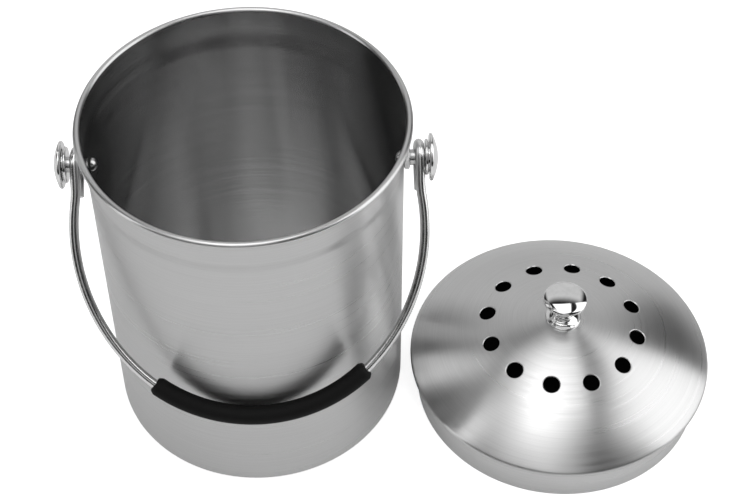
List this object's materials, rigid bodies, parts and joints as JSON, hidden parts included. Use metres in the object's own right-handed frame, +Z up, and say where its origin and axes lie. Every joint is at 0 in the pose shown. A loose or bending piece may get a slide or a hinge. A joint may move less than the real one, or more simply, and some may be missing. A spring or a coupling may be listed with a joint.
{
  "type": "compost pail with lid",
  "caption": "Stainless kitchen compost pail with a swinging bail handle and a loose domed lid with vents and a knob, the lid lying beside the pail.",
  "frame": {"origin": "centre of the pail's base, on the surface that the pail stands on", "axes": "+Z up along the pail's axis, +X along the ears' axis towards the lid, -Y to the front, where the bail hangs"},
  "size_m": [0.3748, 0.1937, 0.217],
  "materials": {
    "brushed_sheet": "fine brushed around the axis",
    "spun_sheet": "fine spun about the crown",
    "screw_steel": "turned, bright",
    "polished_wire": "polished",
    "chrome": "mirror",
    "seal_rubber": "matte",
    "black_grip": "satin",
    "charcoal": "open felt"
  },
  "bodies": {
    "pail": {"pail_body": "brushed_sheet", "left_ear_screw": "screw_steel", "right_ear_screw": "screw_steel", "left_ear_washer": "seal_rubber", "right_ear_washer": "seal_rubber", "left_ear_nut": "screw_steel", "right_ear_nut": "screw_steel", "left_ear_bush": "screw_steel", "right_ear_bush": "screw_steel", "left_ear_knob": "chrome", "right_ear_knob": "chrome"},
    "bail": {"bail_wire": "polished_wire", "bail_grip": "black_grip"},
    "lid": {"lid_dome": "spun_sheet", "lid_collar": "brushed_sheet", "lid_knob": "chrome", "knob_washer": "screw_steel", "knob_screw": "screw_steel", "charcoal_filter": "charcoal", "filter_clips": "brushed_sheet"}
  },
  "joints": [
    {"name": "bail_swing", "type": "hinge", "parent": "pail", "child": "bail", "pos_m": [0, 0, 0.18465], "axis": [-1, 0, 0], "range_deg": [0, 279]},
    {"name": "lid_lift", "type": "slide", "parent": "pail", "child": "lid", "axis": [0, 0, 1], "range_m": [0, 0.1]}
  ]
}
